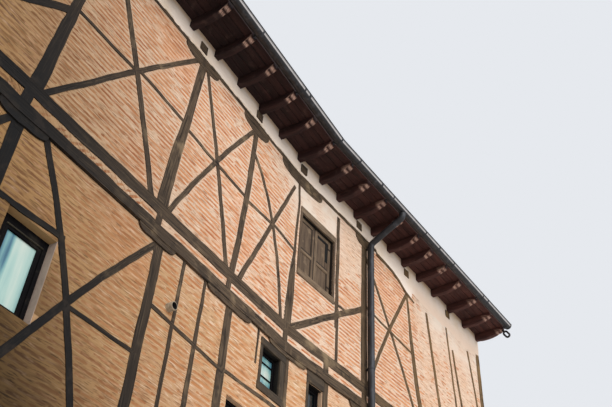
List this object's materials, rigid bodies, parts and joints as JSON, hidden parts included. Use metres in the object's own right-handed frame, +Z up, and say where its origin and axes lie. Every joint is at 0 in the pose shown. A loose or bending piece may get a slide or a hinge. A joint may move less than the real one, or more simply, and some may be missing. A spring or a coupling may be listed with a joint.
{
  "type": "half timbered house",
  "caption": "Half timbered town house of two wings at a slight bend, with crossed braces, brick infill, bracketed eave, gutter and one shuttered window",
  "frame": {"origin": "on the ground, halfway through the ground storey's front wall, at the bend between the wings", "axes": "+X along the left wing's front towards the free gable, +Y into the house from the street, +Z up"},
  "size_m": [13.76, 10.0373, 11.8872],
  "materials": {
    "timber": "weathered, dark, open grain",
    "brick": "thin bricks in wide smeared lime joints",
    "masonry": "coarse lime render over rubble",
    "render": "plain lime render",
    "lime_plaster": "uneven lime plaster",
    "eave_wood": "dark red-brown stain",
    "zinc": "weathered zinc",
    "clay_pipe": "sooty",
    "iron": "dull",
    "shutter_wood": "weathered bare wood",
    "window_paint": "dark paint",
    "glass": "clear",
    "floor_wood": "bare boards",
    "roof_tile": "fired clay",
    "door_wood": "oiled planks"
  },
  "bodies": {
    "root": {"front_ground_wall": "masonry", "back_ground_wall": "masonry", "gable_ground_wall": "masonry", "party_wall": "render", "left_lower_frame": "timber", "right_lower_frame": "timber", "lower_brick": "brick", "floor_beam": "timber", "upper_sill": "timber", "band_brick": "brick", "left_posts": "timber", "left_braces": "timber", "right_posts": "timber", "right_braces": "timber", "left_brick": "brick", "right_brick": "brick", "bolsters": "timber", "wall_plate": "timber", "eave_band": "lime_plaster", "tie_beams": "timber", "eave_brackets": "eave_wood", "soffit": "eave_wood", "gutter": "zinc", "downpipe": "zinc", "shutter_frame": "shutter_wood", "left_shutter": "shutter_wood", "right_shutter": "shutter_wood", "front_windows": "window_paint", "rear_windows": "window_paint", "window_glass": "glass", "vent_pipe": "clay_pipe", "iron_ring": "iron", "gable_frame": "timber", "gable_brick": "brick", "back_frame": "timber", "back_post": "timber", "back_brick": "brick", "first_floor": "floor_wood", "second_floor": "floor_wood", "front_roof": "roof_tile", "back_roof": "roof_tile", "ridge_beam": "timber", "door_frame": "timber", "door": "door_wood"}
  },
  "joints": []
}
